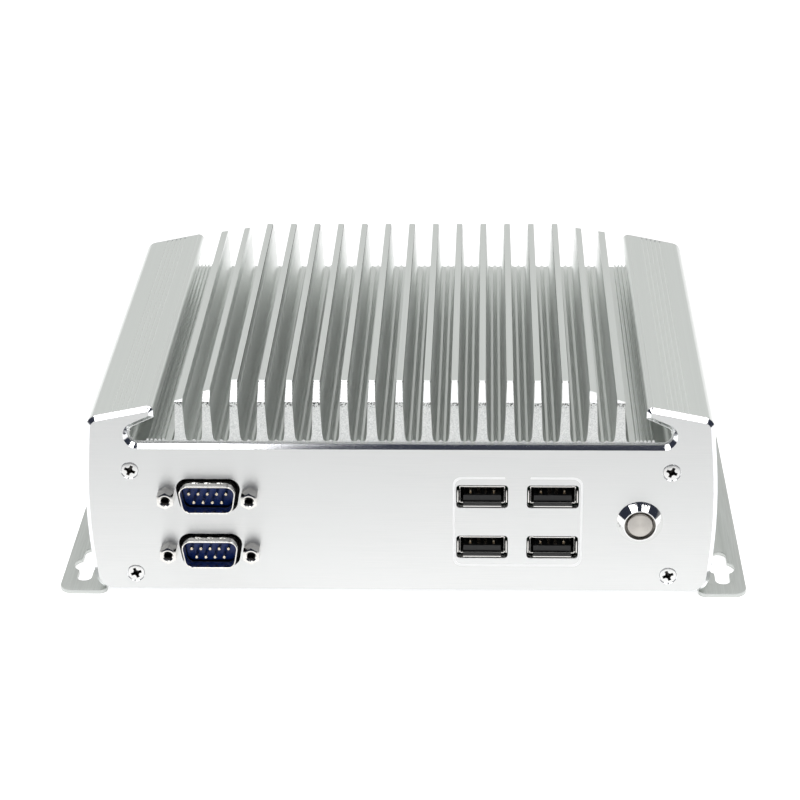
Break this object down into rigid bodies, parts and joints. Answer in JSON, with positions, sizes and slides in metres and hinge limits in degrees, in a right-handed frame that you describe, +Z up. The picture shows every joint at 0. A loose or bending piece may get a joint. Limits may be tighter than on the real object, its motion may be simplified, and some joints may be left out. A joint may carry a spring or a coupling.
{
  "type": "fanless industrial computer",
  "caption": "Fanless box computer in a finned aluminium case with serial and USB ports, a power button and slotted mounting ears.",
  "frame": {"origin": "centre of the bounding box in plan, on the plane the mounting ears stand on", "axes": "+X to the right seen from the front, +Y from the front panel to the rear panel, +Z up out of the fins"},
  "size_m": [0.209, 0.1576, 0.0689],
  "materials": {
    "case_aluminium": "satin, anodised",
    "panel_aluminium": "fine brushed, polished chamfer",
    "block_aluminium": "milled",
    "sheet_steel": "satin",
    "screw_steel": "zinc plated",
    "nickel": "bright nickel",
    "bezel_steel": "polished",
    "cap_steel": "satin",
    "spring_steel": "drawn wire",
    "brass": "gold plated",
    "spacer_brass": "nickel plated",
    "blue_plastic": "moulded",
    "black_plastic": "moulded",
    "circuit_board": "solder mask",
    "cell_steel": "pressed",
    "pad_rubber": "soft",
    "lead_plastic": "soft"
  },
  "bodies": {
    "case": {"antenna_nuts": "brass", "antenna_sockets": "brass", "audio_jacks": "black_plastic", "board_headers": "black_plastic", "board_screws": "screw_steel", "board_spacers": "spacer_brass", "bottom_cover": "sheet_steel", "button_bezel": "bezel_steel", "button_leads": "lead_plastic", "button_nut": "nickel", "button_spring": "spring_steel", "button_switch": "black_plastic", "cell_holder": "black_plastic", "coin_cell": "cell_steel", "cover_screws": "screw_steel", "dc_jack": "black_plastic", "ear_screws": "screw_steel", "finned_case": "case_aluminium", "front_panel": "panel_aluminium", "front_panel_screws": "screw_steel", "front_usb_contacts": "brass", "front_usb_shell_1": "nickel", "front_usb_shell_2": "nickel", "front_usb_shell_3": "nickel", "front_usb_shell_4": "nickel", "front_usb_tongues": "black_plastic", "hdmi_shell": "nickel", "hdmi_tongue": "black_plastic", "heat_block": "block_aluminium", "lan_contacts": "brass", "lan_jack_1": "black_plastic", "lan_jack_2": "black_plastic", "left_ear": "sheet_steel", "lower_serial_insulator": "blue_plastic", "lower_serial_shell": "nickel", "mainboard": "circuit_board", "memory_module": "circuit_board", "memory_socket": "black_plastic", "processor": "circuit_board", "rear_panel": "panel_aluminium", "rear_panel_screws": "screw_steel", "rear_usb_shell": "nickel", "rear_usb_tongues": "black_plastic", "right_ear": "sheet_steel", "serial_board": "circuit_board", "serial_jackscrews": "nickel", "serial_pins": "brass", "serial_ribbon": "lead_plastic", "storage_card": "circuit_board", "storage_socket": "black_plastic", "thermal_pads": "pad_rubber", "upper_serial_insulator": "blue_plastic", "upper_serial_shell": "nickel", "usb_board": "circuit_board", "usb_ribbon": "lead_plastic", "vga_insulator": "blue_plastic", "vga_jackscrews": "nickel", "vga_shell": "nickel"},
    "button": {"button_cap": "cap_steel"}
  },
  "joints": [
    {"name": "power_button", "type": "slide", "parent": "case", "child": "button", "axis": [0, 1, 0], "range_m": [0, 0.0016], "stiffness_N_per_m": 800, "springref_m": -0.0015}
  ]
}
